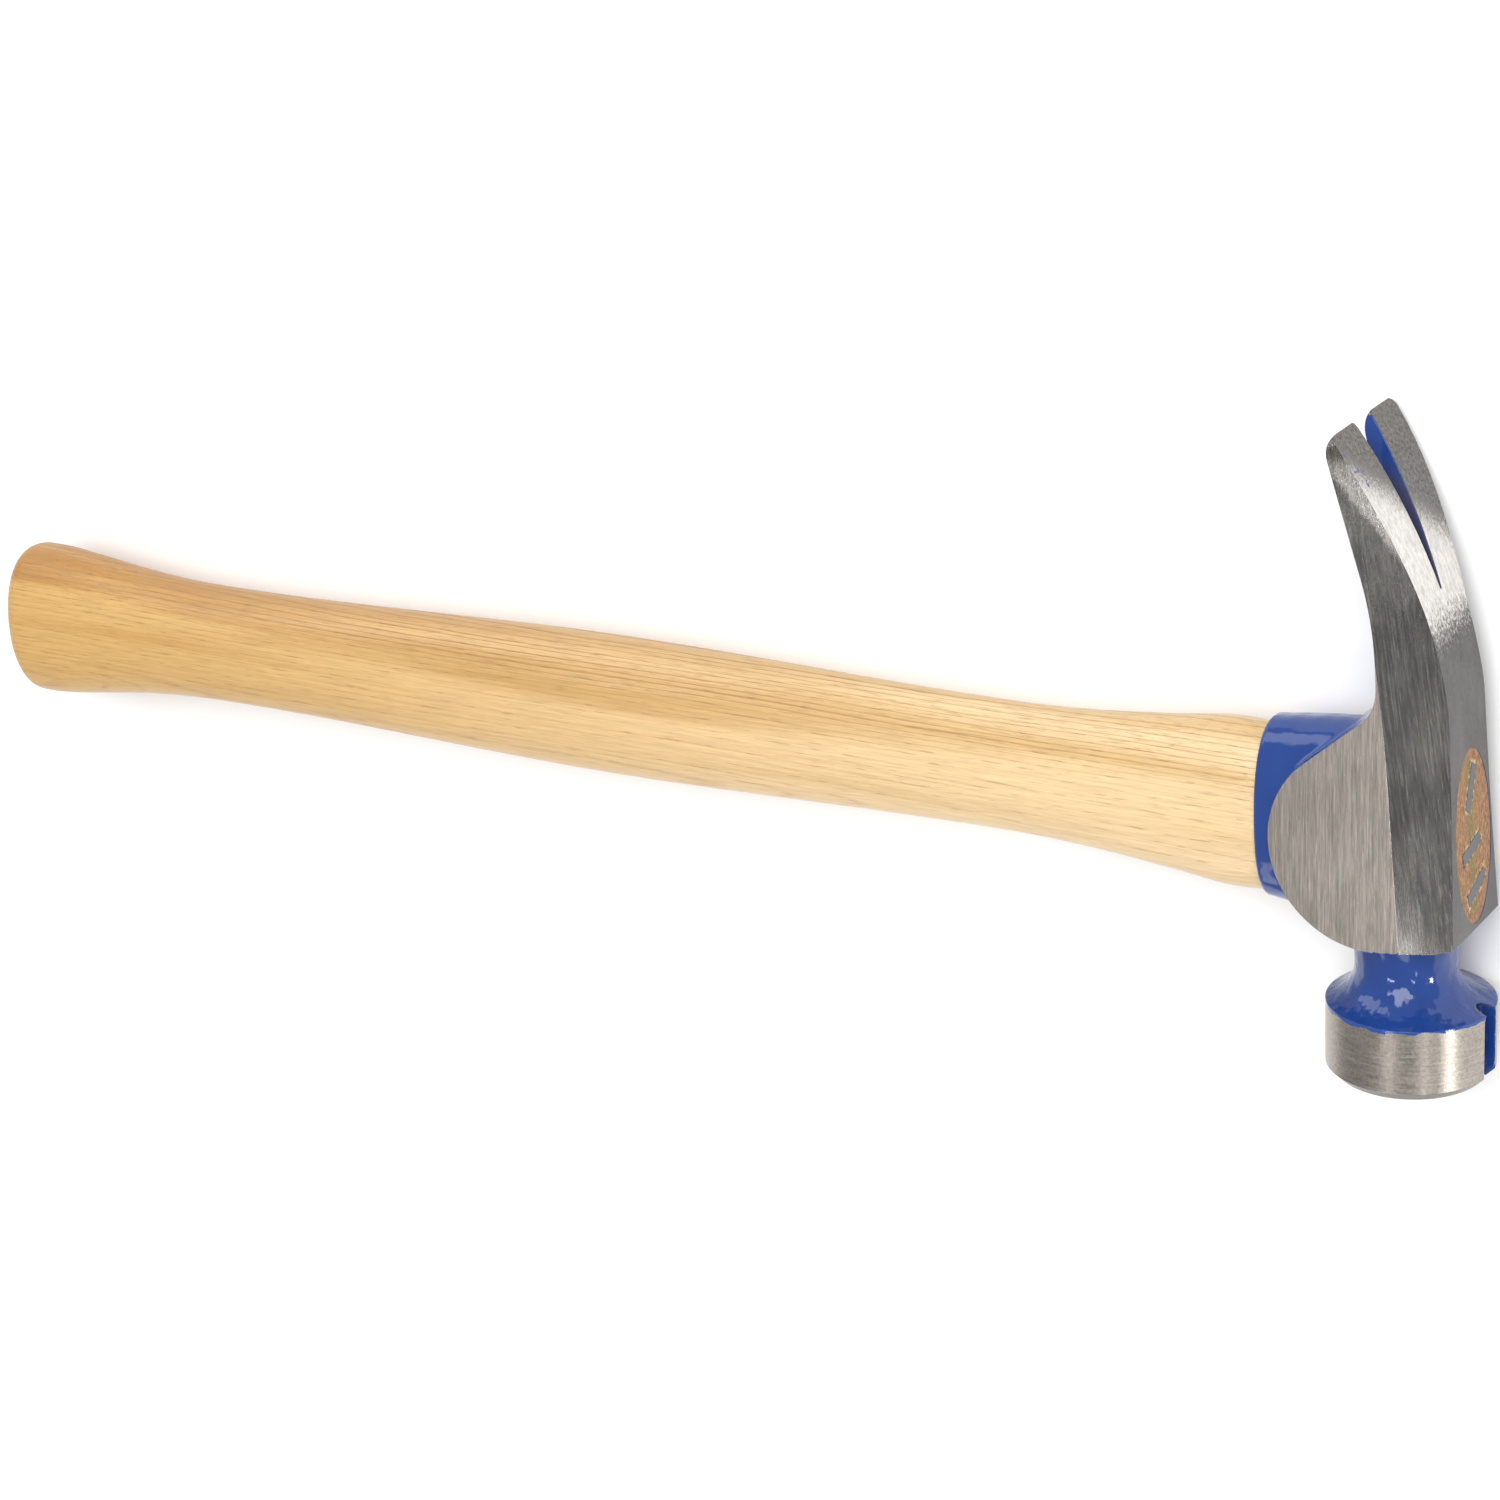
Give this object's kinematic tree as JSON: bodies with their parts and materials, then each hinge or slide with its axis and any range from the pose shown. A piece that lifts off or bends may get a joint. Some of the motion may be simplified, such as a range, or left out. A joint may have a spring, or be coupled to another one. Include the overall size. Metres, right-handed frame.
{
  "type": "claw hammer",
  "caption": "Claw hammer with a forged steel head, long straight-swept claws, round poll with a nail-starting slot, and a straight hickory handle wedged in the eye.",
  "frame": {"origin": "under the middle of the hammer's bounding box, on the surface that it lies on", "axes": "+X along the handle from the butt to the head's top face, +Y from the striking face to the claw tips, +Z out of the upper cheek; the hammer lies on its side"},
  "size_m": [0.4114, 0.1502, 0.038],
  "materials": {
    "head_steel": "ground and brushed steel, with glossy blue enamel on the neck, collar, slot walls and claws' underside",
    "hickory": "lacquered, straight grain",
    "poplar": "bare end grain",
    "wedge_steel": "plain ground steel",
    "magnet": "dark nickel plate"
  },
  "bodies": {
    "root": {"hammer_head": "head_steel", "handle": "hickory", "kerf_wedge": "poplar", "steel_wedge_upper": "wedge_steel", "steel_wedge_middle": "wedge_steel", "steel_wedge_lower": "wedge_steel", "nail_magnet": "magnet"}
  },
  "joints": []
}
